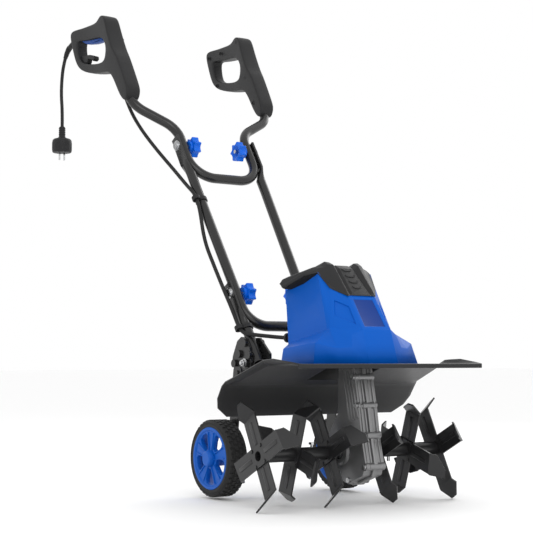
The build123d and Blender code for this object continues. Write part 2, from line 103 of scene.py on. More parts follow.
class Wire:
    # a socket that can be added, taken away and multiplied
    def __init__(self, tree, socket=None):
        self.tree = tree
        self.socket = socket

    def add(self, kind, settings={}, sockets={}, out=0):
        node = self.tree.nodes.new(kind)
        for name, value in settings.items():
            if name == "stops":
                for number, (place, shade) in enumerate(value):
                    stops = node.color_ramp.elements
                    stop = stops[number] if number < len(stops) else stops.new(place)
                    stop.position = place
                    stop.color = (shade, shade, shade, 1)
            else:
                setattr(node, name, value)
        for name, value in sockets.items():
            if isinstance(value, Wire):
                self.tree.links.new(value.socket, node.inputs[name])
            else:
                node.inputs[name].default_value = value
        return Wire(self.tree, node.outputs[out])

    def maths(self, operation, first, second):
        return self.add("ShaderNodeMath", {"operation": operation}, {0: first, 1: second})

    def __add__(self, other):
        return self.maths("ADD", self, other)

    def __sub__(self, other):
        return self.maths("SUBTRACT", self, other)

    def __rsub__(self, other):
        return self.maths("SUBTRACT", other, self)

    def __mul__(self, other):
        return self.maths("MULTIPLY", self, other)

    __radd__ = __add__
    __rmul__ = __mul__


finishBasics = {"stretch": (1, 1, 1), "cloud": 9.0, "marks": 70.0, "wornFrom": ((0.62, 0), (0.72, 1)), "wear": 0.1,
                "roughSpread": 0.12, "grainRough": 0.1, "wornRough": 0.04, "ripple": 0.0, "depth": 0.0004,
                "metal": 0.0, "coat": 0.0, "coatRough": 0.2, "shine": 0.5}


def makeFinish(name, ownLook):
    look = {**finishBasics, **ownLook}
    material = bpy.data.materials.new(name)
    material.use_nodes = True
    tree = material.node_tree
    shader = tree.nodes["Principled BSDF"]
    wire = Wire(tree)
    place = wire.add("ShaderNodeTexCoord", out=3)
    stretched = wire.add("ShaderNodeMapping", {}, {"Vector": place, "Scale": look["stretch"]})
    grain = wire.add("ShaderNodeTexNoise", {}, {"Vector": stretched, "Scale": look["grain"], "Detail": 3.0})
    cloud = wire.add("ShaderNodeTexNoise", {}, {"Vector": place, "Scale": look["cloud"], "Detail": 4.0})
    marks = wire.add("ShaderNodeTexNoise", {}, {"Vector": place, "Scale": look["marks"],
                                               "Detail": 6.0, "Roughness": 0.7})
    worn = wire.add("ShaderNodeValToRGB", {"stops": look["wornFrom"]}, {0: marks})
    shade = wire.add("ShaderNodeMix", {"data_type": "RGBA"},
                     {0: cloud, 6: (*look["colour"], 1), 7: (*look["second"], 1)}, out=2)
    shade = wire.add("ShaderNodeMix", {"data_type": "RGBA"},
                     {0: worn * look["wear"], 6: shade, 7: (*look["bare"], 1)}, out=2)
    rough = look["rough"] + (cloud - 0.5) * look["roughSpread"] + (grain - 0.5) * look["grainRough"]
    rough = rough + worn * look["wornRough"]
    bump = wire.add("ShaderNodeBump", {}, {"Height": grain + cloud * look["ripple"],
                                           "Strength": look["bump"], "Distance": look["depth"]})
    for socket, value in (("Base Color", shade), ("Roughness", rough), ("Normal", bump)):
        tree.links.new(value.socket, shader.inputs[socket])
    shader.inputs["Metallic"].default_value = look["metal"]
    shader.inputs["Coat Weight"].default_value = look["coat"]
    shader.inputs["Coat Roughness"].default_value = look["coatRough"]
    shader.inputs["Specular IOR Level"].default_value = look["shine"]
    return material


looks = {
    "blue_plastic": {"colour": (0.0, 0.085, 0.44), "second": (0.0, 0.096, 0.49), "bare": (0.004, 0.13, 0.56),
                     "rough": 0.42, "grain": 2600.0, "bump": 0.12, "wear": 0.06, "shine": 0.12},
    "deep_blue": {"colour": (0.001, 0.03, 0.2), "second": (0.0015, 0.036, 0.23), "bare": (0.01, 0.08, 0.34),
                  "rough": 0.34, "shine": 0.2, "grain": 2600.0, "bump": 0.08, "wear": 0.04},
    "lever_blue": {"colour": (0.008, 0.055, 0.26), "second": (0.01, 0.065, 0.3), "bare": (0.03, 0.12, 0.4),
                   "rough": 0.42, "grain": 2400.0, "bump": 0.12, "shine": 0.25},
    "black_plastic": {"colour": (0.0145, 0.0145, 0.015), "second": (0.021, 0.021, 0.022), "bare": (0.05, 0.05, 0.052),
                      "rough": 0.46, "grain": 2400.0, "bump": 0.3, "wear": 0.15, "shine": 0.22},
    "shield_black": {"colour": (0.011, 0.011, 0.0115), "second": (0.016, 0.016, 0.017), "bare": (0.04, 0.04, 0.042),
                     "rough": 0.4, "grain": 1800.0, "bump": 0.3, "wear": 0.25, "shine": 0.3},
    "black_enamel": {"colour": (0.012, 0.012, 0.012), "second": (0.017, 0.017, 0.017), "bare": (0.05, 0.05, 0.05),
                     "rough": 0.24, "grain": 700.0, "bump": 0.1, "depth": 0.0002, "ripple": 0.4,
                     "coat": 0.15, "shine": 0.35},
    "rubber": {"colour": (0.011, 0.011, 0.011), "second": (0.018, 0.018, 0.018), "bare": (0.05, 0.05, 0.05),
               "rough": 0.5, "grain": 1500.0, "bump": 0.2, "shine": 0.25},
    "tyre_rubber": {"colour": (0.016, 0.016, 0.016), "second": (0.024, 0.024, 0.024), "bare": (0.06, 0.058, 0.055),
                    "rough": 0.66, "grain": 1300.0, "bump": 0.4, "wear": 0.25, "shine": 0.3},
    "wheel_plastic": {"colour": (0.0006, 0.088, 0.43), "second": (0.001, 0.1, 0.48), "bare": (0.02, 0.15, 0.52),
                      "rough": 0.42, "grain": 2400.0, "bump": 0.15, "wear": 0.1, "shine": 0.25},
    "knob_blue": {"colour": (0.0006, 0.11, 0.62), "second": (0.001, 0.125, 0.68), "bare": (0.02, 0.18, 0.7),
                  "rough": 0.38, "grain": 2400.0, "bump": 0.15, "wear": 0.05, "shine": 0.25},
    "tine_paint": {"colour": (0.013, 0.013, 0.0135), "second": (0.021, 0.021, 0.022), "bare": (0.09, 0.09, 0.092),
                   "rough": 0.33, "grain": 520.0, "bump": 0.25, "marks": 120.0, "wear": 0.3, "ripple": 0.5,
                   "coat": 0.1, "shine": 0.35},
    "cast_case": {"colour": (0.17, 0.17, 0.172), "second": (0.26, 0.26, 0.263), "bare": (0.4, 0.4, 0.41),
                  "rough": 0.33, "grain": 420.0, "bump": 0.5, "metal": 0.6, "wear": 0.35, "ripple": 0.3},
    "steel": {"colour": (0.36, 0.36, 0.37), "second": (0.46, 0.46, 0.47), "bare": (0.62, 0.62, 0.62),
              "rough": 0.33, "grain": 900.0, "stretch": (1, 1, 6), "bump": 0.15, "metal": 1.0, "wear": 0.3},
    "zinc": {"colour": (0.5, 0.51, 0.53), "second": (0.64, 0.64, 0.63), "bare": (0.8, 0.8, 0.78),
             "rough": 0.27, "grain": 800.0, "bump": 0.15, "metal": 1.0, "wear": 0.3},
    "bronze": {"colour": (0.42, 0.24, 0.09), "second": (0.5, 0.3, 0.12), "bare": (0.65, 0.45, 0.22),
               "rough": 0.35, "grain": 800.0, "bump": 0.2, "metal": 1.0, "wear": 0.3},
}
finishes = {name: makeFinish(name + "Finish", look) for name, look in looks.items()}

floorMaterial = bpy.data.materials.new("paleFloor")
floorMaterial.use_nodes = True
floorShader = floorMaterial.node_tree.nodes["Principled BSDF"]
floorWire = Wire(floorMaterial.node_tree)
floorPlace = floorWire.add("ShaderNodeTexCoord", out=3)
floorNoise = floorWire.add("ShaderNodeTexNoise", {}, {"Vector": floorPlace, "Scale": 4.0})
floorMaterial.node_tree.links.new((0.8 + floorNoise * 0.1).socket, floorShader.inputs["Roughness"])
floorShader.inputs["Base Color"].default_value = (*studio["floorShade"], 1)
floorMesh = bmesh.new()
bmesh.ops.create_grid(floorMesh, x_segments=4, y_segments=4, size=30)
floorData = bpy.data.meshes.new("floor")
floorMesh.to_mesh(floorData)
floorMesh.free()
floor = bpy.data.objects.new("floor", floorData)
floor.data.materials.append(floorMaterial)
bpy.context.collection.objects.link(floor)

chosen = {"bracket_bolts": "black_enamel", "axle_caps": "wheel_plastic", "top_cover": "black_plastic"}
for name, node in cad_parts.items():
    for holder in node.material_slots:
        holder.material = finishes[chosen.get(name, holder.material.name.split(".")[0])]
print("finishes done")


# making pieces

def addPiece(name, bm, finish, body, stands=(), smoothAngle=32, others=()):
    mesh = bpy.data.meshes.new(name)
    bm.to_mesh(mesh)
    bm.free()
    piece = bpy.data.objects.new(name, mesh)
    bpy.context.collection.objects.link(piece)
    for extra in (finish, *others):
        mesh.materials.append(finishes[extra])
    mesh.shade_smooth()
    mesh.set_sharp_from_angle(angle=math.radians(smoothAngle))
    if stands:
        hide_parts(*stands)
    if body:
        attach(piece, body)
    return piece


def tidyMesh(bm):
    bmesh.ops.remove_doubles(bm, verts=bm.verts, dist=0.00002)
    bmesh.ops.recalc_face_normals(bm, faces=bm.faces)


def sharpEdges(bm, angle):
    return [edge for edge in bm.edges if len(edge.link_faces) == 2
            and edge.calc_face_angle(0) > math.radians(angle)]


def roundEdges(bm, offset, segments=2, angle=18):
    bmesh.ops.bevel(bm, geom=sharpEdges(bm, angle), offset=offset, segments=segments, profile=0.5,
                    affect="EDGES", material=-1, clamp_overlap=True)


def joinInto(target, source):
    # puts source's shape into target and drops source
    mesh = bpy.data.meshes.new("part")
    source.to_mesh(mesh)
    source.free()
    target.from_mesh(mesh)
    bpy.data.meshes.remove(mesh)


def mirrorSides(bm):
    bmesh.ops.mirror(bm, geom=bm.verts[:] + bm.edges[:] + bm.faces[:], axis="X", merge_dist=-1)


def lathe(profile, axisPoint, axis, steps=48):
    # profile is (along the axis, radius) pairs
    bm = bmesh.new()
    axis = Vector(axis).normalized()
    outward = axis.orthogonal()
    outward = (outward - axis * outward.dot(axis)).normalized()
    points = [bm.verts.new(Vector(axisPoint) + axis * along + outward * radius) for along, radius in profile]
    edges = [bm.edges.new(pair) for pair in zip(points, points[1:])]
    bmesh.ops.spin(bm, geom=points + edges, cent=axisPoint, axis=axis, angle=math.tau, steps=steps,
                   use_merge=True)
    tidyMesh(bm)
    return bm


def flatShape(outlines, depth, edge=0.0, steps=2):
    # a plate with rounded rims in the XY plane, centred on it; later outlines are holes
    flat = bpy.data.curves.new("flat", "CURVE")
    flat.dimensions = "2D"
    flat.fill_mode = "BOTH"
    flat.extrude = depth / 2 - edge
    flat.bevel_depth = edge
    flat.bevel_resolution = steps
    flat.offset = -edge
    flat.resolution_u = 6
    for points in outlines:
        spline = flat.splines.new("NURBS")
        spline.points.add(len(points) - 1)
        for point, (x, y) in zip(spline.points, points):
            point.co = (x, y, 0, 1)
        spline.use_cyclic_u = True
        spline.order_u = 3
    holder = bpy.data.objects.new("flat", flat)
    mesh = bpy.data.meshes.new_from_object(holder)
    bm = bmesh.new()
    bm.from_mesh(mesh)
    bpy.data.objects.remove(holder)
    bpy.data.curves.remove(flat)
    bpy.data.meshes.remove(mesh)
    tidyMesh(bm)
    return bm


def softCorners(points, size):
    # three control points at each corner keep the runs between them straight
    rounded = []
    count = len(points)
    for number, point in enumerate(points):
        here = Vector(point)
        for other in (points[number - 1], None, points[(number + 1) % count]):
            if other is None:
                rounded.append(here[:])
            else:
                run = Vector(other) - here
                rounded.append((here + run.normalized() * min(size, run.length * 0.48))[:])
    return rounded


def sidePlane(x, away=1):
    # local X runs to the rear, local Y up, and local Z across to away
    return Matrix.Translation(spot(x, 0, 0)) @ Matrix(((0, 0, away, 0), (1, 0, 0, 0), (0, 1, 0, 0), (0, 0, 0, 1)))


# cords

cordLook = {"radius": 3.75}
cordRoute = [(-179, 812.5, 844), (-179.5, 821.7, 826.6), (-180.5, 826, 799), (-181, 827.5, 763),
             (-178.5, 826, 726), (-178.5, 826, 690)]
reliefRoute = [(-177.7, 750, 878), (-178.4, 782, 868.5), (-178.6, 803, 859), (-179, 812.5, 844)]
upperLead = [(-167, 549, 716), (-152, 556, 690), (-141, 529, 647), (-122, 496, 601), (-106, 449, 553),
             (-101, 408, 518), (-99.15, 377.05, 496.09), (-99, 370, 484)]
lowerLead = [(-99, 370, 484), (-98.78, 359.93, 466.73), (-98.5, 343, 400), (-101, 300, 345), (-104.5, 264, 303),
             (-101, 236, 260), (-100, 208, 216), (-92, 184, 212), (-76, 160, 209), (-61, 134, 206),
             (-60, 112.1, 205)]


def smoothLine(name, points, radii=None, bevel=0.0):
    curve = bpy.data.curves.new(name, "CURVE")
    curve.dimensions = "3D"
    curve.resolution_u = 12
    curve.bevel_depth = bevel
    curve.bevel_resolution = 6
    curve.use_fill_caps = True
    spline = curve.splines.new("NURBS")
    spline.points.add(len(points) - 1)
    for number, point in enumerate(points):
        spline.points[number].co = (*spot(*point), 1)
        if radii:
            spline.points[number].radius = radii[number]
    spline.order_u = 3
    spline.use_endpoint_u = True
    piece = bpy.data.objects.new(name, curve)
    bpy.context.collection.objects.link(piece)
    return piece


def lineLength(points):
    return sum((Vector(b) - Vector(a)).length for a, b in zip(points, points[1:]))


def lineOf(points):
    holder = smoothLine("line", points)
    mesh = bpy.data.meshes.new_from_object(holder)
    places = [vert.co.copy() for vert in mesh.vertices]
    bpy.data.objects.remove(holder)
    return places


mainsCord = smoothLine("mainsCord", cordRoute, bevel=cordLook["radius"] / 1000)
mainsCord.data.materials.append(finishes["rubber"])
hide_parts("mains_cord")
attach(mainsCord, "upper_handle")

relief = {"radii": (6.0, 5.9, 5.4, 4.7), "ribs": 7}
widest = relief["radii"][0]
reliefCurve = smoothLine("reliefLine", reliefRoute, radii=[radius / widest for radius in relief["radii"]],
                         bevel=widest / 1000)
reliefMesh = bpy.data.meshes.new_from_object(reliefCurve)
bpy.data.objects.remove(reliefCurve)
reliefShape = bmesh.new()
reliefShape.from_mesh(reliefMesh)
reliefLine = lineOf(reliefRoute)
for number in range(relief["ribs"]):
    place = int(len(reliefLine) * (0.5 + 0.45 * number / relief["ribs"]))
    along = (reliefLine[place] - reliefLine[place - 1]).normalized()
    radius = 0.006 - 0.0011 * number / relief["ribs"]
    joinInto(reliefShape, lathe([(-0.0009, radius * 0.9), (-0.0007, radius + 0.0004), (0.0007, radius + 0.0004),
                                 (0.0009, radius * 0.9)], reliefLine[place], along, 24))
strainRelief = addPiece("strainRelief", reliefShape, "rubber", "upper_handle", ("strain_relief",))

plug = {
    "top": (-178.5, 826, 690), "bladeApart": 11.6, "collars": 4, "ribs": 16,
    # along the cord and radius, in metres
    "body": [(0.0, 0.0), (0.0, 0.0058), (-0.002, 0.0068), (-0.022, 0.0073), (-0.025, 0.009),
             (-0.028, 0.0185), (-0.031, 0.0212), (-0.034, 0.0218), (-0.056, 0.0218), (-0.0585, 0.0205),
             (-0.059, 0.019), (-0.059, 0.0)],
}
plugShape = lathe(plug["body"], spot(*plug["top"]), (0, 0, 1), 40)
for number in range(plug["collars"]):
    height = -0.004 - 0.0045 * number
    joinInto(plugShape, lathe([(height - 0.0011, 0.006), (height - 0.0009, 0.0076), (height + 0.0009, 0.0076),
                               (height + 0.0011, 0.006)], spot(*plug["top"]), (0, 0, 1), 32))
for number in range(plug["ribs"]):
    rib = bmesh.new()
    bmesh.ops.create_cube(rib, size=1, matrix=Matrix.Diagonal((0.0016, 0.003, 0.018, 1)))
    roundEdges(rib, 0.0004, 1)
    turn = Matrix.Rotation(math.tau * number / plug["ribs"], 4, "Z")
    ribPlace = Matrix.Translation(spot(*plug["top"]) - Vector((0, 0, 0.045)))
    bmesh.ops.transform(rib, verts=rib.verts, matrix=ribPlace @ turn @ Matrix.Translation((0.0214, 0, 0)))
    joinInto(plugShape, rib)
plugBody = addPiece("plugBody", plugShape, "black_plastic", "upper_handle", ("mains_plug",))
bladeShape = bmesh.new()
for x in (-plug["bladeApart"] / 2, plug["bladeApart"] / 2):
    blade = bmesh.new()
    bladePlace = Matrix.Translation(spot(*plug["top"]) + Vector((x / 1000, 0, -0.0675)))
    bmesh.ops.create_cube(blade, size=1, matrix=bladePlace @ Matrix.Diagonal((0.0022, 0.006, 0.017, 1)))
    roundEdges(blade, 0.0006, 2)
    joinInto(bladeShape, blade)
plugBlades = addPiece("plugBlades", bladeShape, "zinc", "upper_handle")
cordRun = lineOf(cordRoute)
print("mains cord length", round(lineLength(cordRun), 4))


def leadPiece(name, route, node):
    holder = smoothLine(name + "Line", route, bevel=cordLook["radius"] / 1000)
    mesh = bpy.data.meshes.new_from_object(holder)
    bpy.data.objects.remove(holder)
    bm = bmesh.new()
    bm.from_mesh(mesh)
    piece = addPiece(name, bm, "rubber", None, (node,), smoothAngle=60)
    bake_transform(piece)
    run = lineOf(route)
    print(name, "length", round(lineLength(run), 4))


leadPiece("leadUpper", upperLead, "motor_lead_upper")
leadPiece("leadLower", lowerLead, "motor_lead_lower")
print("cords done")


# motor housing

housing = {
    # columns from the front to the rear, each from the foot up: foot, shoulder, wall foot, wall top
    "columns": [
        [(31.5, -95.5, 157), (31.3, -83.3, 194), (31.2, -75.8, 217), (29.6, -32, 279)],
        [(55, -82, 157), (55, -76.5, 186), (50, -68, 208.4)],
        [(78, -69, 157), (79, -64, 184.5), (68.9, -30.2, 219.8), (51.5, -7.5, 292)],
        [(118, -48, 157), (108, -41, 194), (70, -24, 217.5), (60.4, 17.7, 322)],
        [(115, 8, 157), (107, 8, 190), (72, 24, 207), (62, 58, 307)],
        [(111, 60, 157), (106, 60, 184), (73, 90, 193), (67, 108, 291)],
        [(76, 94, 157), (75, 93.5, 184), (68, 98, 192), (58, 114, 289)],
    ],
    "corner": 2.4, "windowInset": 7.5, "windowDepth": 2.6,
    # the side windows' corners: lower inner, lower outer, upper inner, upper outer
    "window": [(37, -63.5, 227.5), (58, -29.5, 243), (37.5, -43.5, 260), (50.5, -18.5, 270)],
    "badgeInset": 10.5, "badgeDepth": 1.4, "wall": 2.5,
}


def shellFrom(columns):
    bm = bmesh.new()
    grid = [[bm.verts.new(spot(*point)) for point in column] for column in columns]
    for left, right in zip(grid, grid[1:]):
        for low in range(min(len(left), len(right)) - 1):
            bm.faces.new((left[low], right[low], right[low + 1], left[low + 1]))
    return bm, grid


def across(vert):
    return Vector((-vert.co.x, vert.co.y, vert.co.z))


housingShape, housingGrid = shellFrom(housing["columns"])
edgeColumn, valleyColumn, stepColumn = housingGrid[:3]
housingShape.faces.new((edgeColumn[2], valleyColumn[2], stepColumn[2]))  # the notch below the window
housingShape.faces.new((edgeColumn[2], stepColumn[2], stepColumn[3], edgeColumn[3]))
mirrorSides(housingShape)
housingShape.verts.ensure_lookup_table()


def nearestVert(bm, place):
    return min(bm.verts, key=lambda vert: (vert.co - place).length)


for end in (housingGrid[0], housingGrid[-1]):
    others = [nearestVert(housingShape, across(vert)) for vert in end]
    for low in range(len(end) - 1):
        housingShape.faces.new((end[low], end[low + 1], others[low + 1], others[low]))
tidyMesh(housingShape)


def facesNear(bm, places):
    return [min(bm.faces, key=lambda face: (face.calc_center_median() - spot(*place)).length) for place in places]


windowFaces = facesNear(housingShape, [(hand * 45, -36, 252) for hand in (-1, 1)])
for hand, windowFace in zip((-1, 1), windowFaces):
    bmesh.ops.inset_region(housingShape, faces=[windowFace], thickness=housing["windowInset"] / 1000, depth=0,
                           use_boundary=True)
    outward, middle = windowFace.normal.copy(), windowFace.calc_center_median()
    corners = [spot(hand * x, y, z) for x, y, z in housing["window"]]
    corners = [corner - outward * (corner - middle).dot(outward) for corner in corners]
    rising = sorted(windowFace.verts, key=lambda vert: vert.co.z)
    ordered = [vert for pair in (rising[:2], rising[2:]) for vert in sorted(pair, key=lambda vert: abs(vert.co.x))]
    for vert, corner in zip(ordered, corners):
        vert.co = corner
    bmesh.ops.inset_region(housingShape, faces=[windowFace], thickness=0.001,
                           depth=-housing["windowDepth"] / 1000)
badgeFace = facesNear(housingShape, [(0, -54, 248)])
bmesh.ops.inset_region(housingShape, faces=badgeFace, thickness=housing["badgeInset"] / 1000, depth=0,
                       use_boundary=True)
bmesh.ops.inset_region(housingShape, faces=badgeFace, thickness=0.0012, depth=-housing["badgeDepth"] / 1000)
for face in badgeFace:
    face.material_index = 1
roundEdges(housingShape, housing["corner"] / 1000, 3, 11)
bmesh.ops.recalc_face_normals(housingShape, faces=housingShape.faces)
housingPiece = addPiece("motorHousing", housingShape, "blue_plastic", "chassis",
                        ("motor_housing",), others=("deep_blue",))
housingWall = housingPiece.modifiers.new("wall", "SOLIDIFY")
housingWall.thickness = housing["wall"] / 1000
housingWall.offset = -1

# top cover

cover = {
    # columns from the middle outwards, each from the front foot up and over to the rear foot
    "columns": [
        [(0, -34.5, 278.5), (0, -31, 282), (0, 13, 330), (0, 26, 336), (0, 100, 316), (0, 116, 302)],
        [(20, -34.5, 278.5), (19, -31, 282), (15, 13, 330), (15, 26, 336), (18, 100, 316), (19, 116, 302)],
        [(25, -34, 278.5), (23, -28, 281), (20, 14, 326), (20.5, 27, 331.5), (23, 100, 313), (24, 116, 302)],
        [(31, -34.5, 277), (30, -28, 287), (28, 13, 336), (28, 26, 341), (30, 100, 317), (31, 116, 302)],
        [(42, -21, 284), (41, -15, 293), (38, 16, 336.5), (38, 27, 342), (40, 100, 317), (42, 116, 302)],
        [(52.6, -8.2, 291.5), (51, -3, 299), (45, 18, 331), (46, 30, 335), (52, 100, 315), (55, 116, 302)],
        [(61.8, 17.2, 321), (60, 20, 324), (56, 24, 329), (57, 38, 331), (66, 102, 317), (69, 116, 303)],
        [(64.6, 48, 316), (66, 49, 317), (66.5, 52, 321), (64, 54, 325), (73.5, 110, 312), (75, 115.5, 305)],
        [(70, 108, 295), (72.5, 109, 295.5), (74.5, 110, 298), (75, 112, 301), (75.2, 114, 304), (75.3, 116, 303)],
    ],
    "round": 2, "chevrons": (8.5, -2, -12, -21.5), "panelFoot": (-31, 282), "panelRise": 48 / 44,
}
coverShape, _ = shellFrom(cover["columns"])
mirrorSides(coverShape)
tidyMesh(coverShape)
rim = [edge for edge in coverShape.edges if edge.is_boundary]
bmesh.ops.holes_fill(coverShape, edges=rim, sides=0)
bmesh.ops.recalc_face_normals(coverShape, faces=coverShape.faces)
roundEdges(coverShape, cover["round"] / 1000, 3, 12)
for number, y in enumerate(cover["chevrons"]):
    half = 11 - number * 0.5
    z = cover["panelFoot"][1] + (y - cover["panelFoot"][0]) * cover["panelRise"]
    line = [(along, y + rise, z + rise * cover["panelRise"]) for along, rise in
            ((-half, 3.4), (-half + 2.2, 1.2), (-half + 5, 0), (half - 5, 0), (half - 2.2, 1.2), (half, 3.4))]
    holder = smoothLine("chevron", line, bevel=0.0013)
    chevronMesh = bpy.data.meshes.new_from_object(holder)
    coverShape.from_mesh(chevronMesh)
    bpy.data.objects.remove(holder)
addPiece("topCover", coverShape, "black_plastic", "chassis", ("top_cover",))
print("housing and cover done")


# knobs

knobLook = {"lobes": 7, "tip": 24.3, "valley": 14.6, "depth": 16, "edge": 2.2, "dish": 11.2, "turn": 0.3}
knobPlaces = {"lower_knob": ((255, 292.5), 61), "upper_knob": ((455.6, 605.4), 64)}


def polar(radius, angle):
    return radius * math.cos(angle), radius * math.sin(angle)


def knobShape(hand, face, fold):
    count = knobLook["lobes"] * 2
    lobes = [polar(knobLook["tip" if number % 2 else "valley"] / 1000, math.tau * number / count)
             for number in range(count)]
    dish = [polar(knobLook["dish"] / 1000 * 1.03, math.tau * number / 16) for number in range(16)]
    bm = flatShape([lobes, dish], knobLook["depth"] / 1000, knobLook["edge"] / 1000, 3)
    bmesh.ops.transform(bm, verts=bm.verts, matrix=Matrix.Rotation(knobLook["turn"], 4, "Z"))
    half = knobLook["depth"] / 2000
    bmesh.ops.rotate(bm, verts=bm.verts, matrix=Matrix.Rotation(-hand * math.pi / 2, 3, "Y"))
    centre = spot(hand * (face - knobLook["depth"] / 2), *fold)
    bmesh.ops.translate(bm, verts=bm.verts, vec=centre)
    inward = Vector((-hand, 0, 0))
    joinInto(bm, lathe([(half - 0.001, 0.0122), (half - 0.0022, 0.0108), (half - 0.0068, 0.0066),
                        (half - 0.0074, 0.0052), (half - 0.0074, 0.0043), (-half + 0.001, 0.0043),
                        (-half + 0.001, 0.0118)], centre, inward, 40))
    joinInto(bm, lathe([(-half + 0.001, 0.0044), (-half + 0.001, 0.0125), (-half - 0.0055, 0.0125),
                        (-half - 0.006, 0.012), (-half - 0.006, 0.0044)], centre, inward, 40))
    return bm


for kind, (fold, face) in knobPlaces.items():
    for sideName, hand in (("left", -1), ("right", 1)):
        addPiece(kind + sideName.title(), knobShape(hand, face, fold), "knob_blue",
                 kind.split("_")[0] + "_" + sideName + "_knob", (kind + "_" + sideName,))
print("knobs done")


# wheels

wheelLook = {
    "x": 144, "axle": (216, -18), "tyre": 71.4, "spokes": 5, "turn": 0.06, "blocks": 40, "tread": 1.7,
    # radius and turn from the middle of a window
    "window": [(20.5, 0.36), (30, 0.36), (43, 0.33), (48.2, 0.24), (49.3, 0.0), (48.2, -0.24), (43, -0.33),
               (30, -0.36), (20.5, -0.36), (19.5, 0.0)],
    # along the axle and radius, in metres
    "band": [(-0.0196, 0.0545), (-0.0196, 0.0578), (0.0192, 0.0578), (0.0205, 0.0568), (0.0205, 0.0535),
             (0.019, 0.0518), (0.017, 0.0505), (-0.017, 0.0505), (-0.0196, 0.0545)],
    "hub": [(-0.02, 0.0064), (-0.02, 0.014), (0.02, 0.0155), (0.024, 0.015), (0.0272, 0.0135), (0.0284, 0.0115),
            (0.0284, 0.0)],
    # each row of tread blocks: place across the tyre, width, and share of a block that it is turned by
    "rows": ((-13.2, 7.5, 0), (-4.4, 7, 0.5), (4.4, 7, 0), (13.2, 7.5, 0.5)),
    "sideRings": (0.0635, 0.0665),
}


def wheelPlace(hand):
    y, z = wheelLook["axle"]
    return sidePlane(hand * wheelLook["x"], hand) @ Matrix.Translation((y / 1000, z / 1000, 0))


def rimShape(hand):
    circle = [polar(0.0576, math.tau * number / 32) for number in range(32)]
    holes = []
    for spoke in range(wheelLook["spokes"]):
        middle = math.pi / 2 + wheelLook["turn"] + math.tau * (spoke + 0.5) / wheelLook["spokes"]
        holes.append(softCorners([polar(radius / 1000, middle + turn) for radius, turn in wheelLook["window"]],
                                 0.0035))
    bm = flatShape([circle] + holes, 0.011, 0.0016, 2)
    bmesh.ops.translate(bm, verts=bm.verts, vec=(0, 0, 0.0125))
    for spoke in range(wheelLook["spokes"]):
        turn = math.pi / 2 + wheelLook["turn"] + math.tau * spoke / wheelLook["spokes"]
        for lean in (-1, 1):
            foot, head = polar(0.013, turn + lean * 0.34), polar(0.049, turn + lean * 0.2)
            length = math.dist(foot, head)
            outline = [(-0.001, -0.001), (length, -0.001), (length, 0.001), (-0.001, 0.001)]
            rib = flatShape([softCorners(outline, 0.0008)], 0.013, 0.0007, 1)
            angle = math.atan2(head[1] - foot[1], head[0] - foot[0])
            bmesh.ops.transform(rib, verts=rib.verts, matrix=Matrix.Translation((*foot, 0.0136))
                                @ Matrix.Rotation(angle, 4, "Z"))
            joinInto(bm, rib)
    joinInto(bm, lathe(wheelLook["band"], (0, 0, 0), (0, 0, 1), 96))
    joinInto(bm, lathe(wheelLook["hub"], (0, 0, 0), (0, 0, 1), 48))
    bmesh.ops.transform(bm, verts=bm.verts, matrix=wheelPlace(hand))
    bmesh.ops.recalc_face_normals(bm, faces=bm.faces)
    return bm


def tyreShape(hand):
    base = wheelLook["tyre"] - wheelLook["tread"]
    profile = [(-19.8, 58), (-20, 62), (-19.4, 67.5), (-17.2, base - 0.4), (-14, base), (14, base),
               (17.2, base - 0.4), (19.4, 67.5), (20, 62), (19.8, 58), (-19.8, 58)]
    bm = lathe([(along / 1000, radius / 1000) for along, radius in profile], (0, 0, 0), (0, 0, 1), 96)
    for row, width, offset in wheelLook["rows"]:
        for number in range(wheelLook["blocks"]):
            block = bmesh.new()
            bmesh.ops.create_cube(block, size=1, matrix=Matrix.Diagonal((0.0026, 0.0075, width / 1000, 1)))
            top = [vert for vert in block.verts if vert.co.x > 0]
            bmesh.ops.scale(block, verts=top, vec=(1, 0.86, 0.86))
            turn = math.tau * (number + offset) / wheelLook["blocks"]
            bmesh.ops.transform(block, verts=block.verts, matrix=Matrix.Rotation(turn, 4, "Z")
                                @ Matrix.Translation(((wheelLook["tyre"] - 1.3) / 1000, 0, row / 1000)))
            joinInto(bm, block)
    for radius in wheelLook["sideRings"]:
        for face in (-1, 1):
            joinInto(bm, lathe([(face * 0.0196, radius - 0.0006), (face * 0.0204, radius - 0.0003),
                                (face * 0.0204, radius + 0.0003), (face * 0.0192, radius + 0.0006)],
                               (0, 0, 0), (0, 0, 1), 96))
    bmesh.ops.transform(bm, verts=bm.verts, matrix=wheelPlace(hand))
    bmesh.ops.recalc_face_normals(bm, faces=bm.faces)
    return bm


for sideName, hand in (("left", -1), ("right", 1)):
    addPiece("rim" + sideName.title(), rimShape(hand), "wheel_plastic", sideName + "_wheel",
             ("wheel_rim_" + sideName,))
    addPiece("tyre" + sideName.title(), tyreShape(hand), "tyre_rubber", sideName + "_wheel",
             ("tyre_" + sideName,))
print("wheels done")


# D-grips

